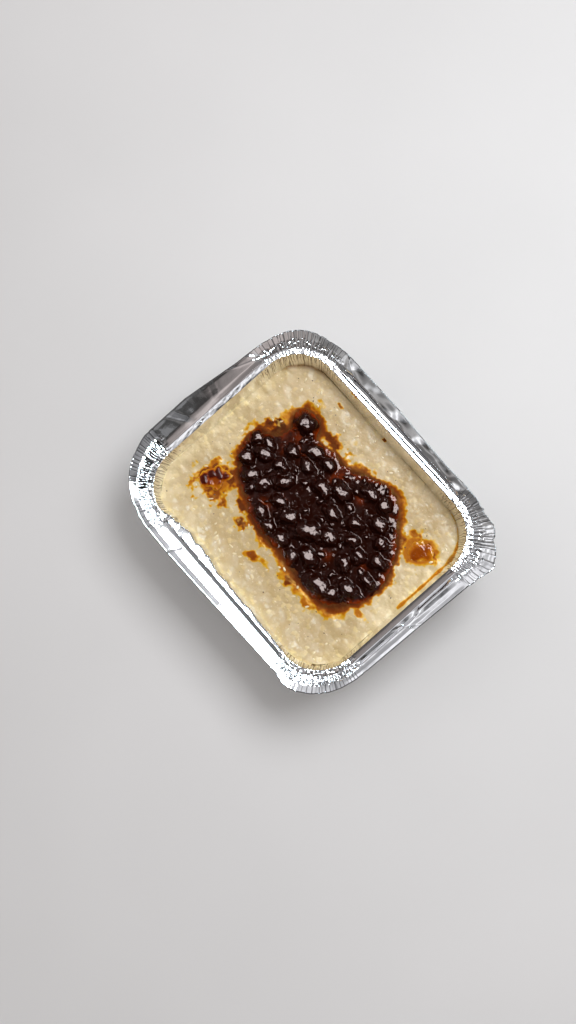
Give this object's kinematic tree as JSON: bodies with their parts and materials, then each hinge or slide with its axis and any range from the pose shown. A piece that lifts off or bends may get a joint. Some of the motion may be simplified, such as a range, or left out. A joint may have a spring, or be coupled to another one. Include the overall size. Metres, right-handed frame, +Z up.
{
  "type": "foil tray meal",
  "caption": "Takeaway meal in an opened foil tray: pale creamy grain mash topped with a pool of dark chunky sauce and small sauce splashes.",
  "frame": {"origin": "centre of the tray's flat underside, which is also the middle of the whole's extents to within half a millimetre", "axes": "+Z up out of the open tray, +X along the tray's length, +Y across it"},
  "size_m": [0.165, 0.1319, 0.0412],
  "materials": {
    "foil": "thin bright smooth-wall aluminium foil, creased and crimped",
    "mash": "stands in for a moist, grainy, cream-coloured mash",
    "dark_sauce": "stands in for a glossy, nearly black, chunky sauce",
    "brown_sauce": "stands in for a thin glossy red-brown oily sauce"
  },
  "bodies": {
    "root": {"foil_tray": "foil", "creamy_mash": "mash", "dark_sauce": "dark_sauce", "sauce_splash_left": "brown_sauce", "sauce_splash_right": "brown_sauce"}
  },
  "joints": []
}
